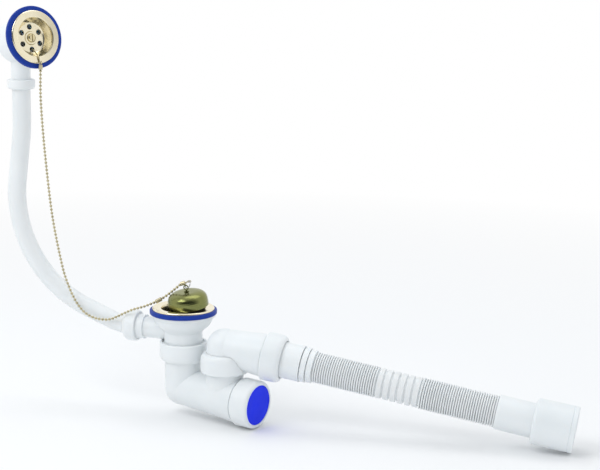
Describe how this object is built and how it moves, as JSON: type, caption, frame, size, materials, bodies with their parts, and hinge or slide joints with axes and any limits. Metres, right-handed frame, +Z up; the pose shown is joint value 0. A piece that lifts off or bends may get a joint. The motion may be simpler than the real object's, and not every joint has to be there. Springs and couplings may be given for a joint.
{
  "type": "bath waste and overflow trap set",
  "caption": "Bath waste with a P-shaped trap, an overflow pipe and rosette, a plug on a ball chain and a corrugated outlet hose ending in a push-fit cuff.",
  "frame": {"origin": "on the waste axis, at the top of the waste gasket, where the underside of the bath floor seats", "axes": "+Z up along the waste axis, out of the drain; +X along the run of the outlet hose; -Y towards the side that the cleanout and the overflow rosette face"},
  "size_m": [0.6627, 0.0951, 0.4538],
  "materials": {
    "white_plastic": "moulded polypropylene, semi-gloss",
    "blue_plastic": "moulded, semi-gloss",
    "blue_rubber": "soft, satin",
    "black_rubber": "soft, matt",
    "gilt": "polished, pale gold plate",
    "brass": "polished",
    "steel_wire": "bright wire"
  },
  "bodies": {
    "root": {"waste_rosette": "gilt", "waste_screw": "brass", "waste_gasket": "blue_rubber", "waste_body": "white_plastic", "waste_insert": "brass", "plug_cap": "brass", "plug_seal": "black_rubber", "plug_eye": "brass", "split_ring": "steel_wire", "chain": "brass", "chain_couplings": "brass", "chain_hook": "steel_wire", "inlet_nut": "white_plastic", "inlet_seal": "black_rubber", "trap_body": "white_plastic", "cleanout_nut": "white_plastic", "cleanout_cap": "blue_plastic", "outlet_nut": "white_plastic", "outlet_seal": "black_rubber", "outlet_elbow": "white_plastic", "hose_nut": "white_plastic", "hose_seal": "black_rubber", "hose_spigot": "white_plastic", "hose_bellows": "white_plastic", "hose_cuff": "white_plastic", "branch_nut": "white_plastic", "branch_seal": "black_rubber", "overflow_pipe": "white_plastic", "overflow_nut": "white_plastic", "overflow_seal": "black_rubber", "overflow_body": "white_plastic", "overflow_insert": "brass", "overflow_gasket": "blue_rubber", "overflow_rosette": "gilt", "overflow_screw": "brass"}
  },
  "joints": []
}
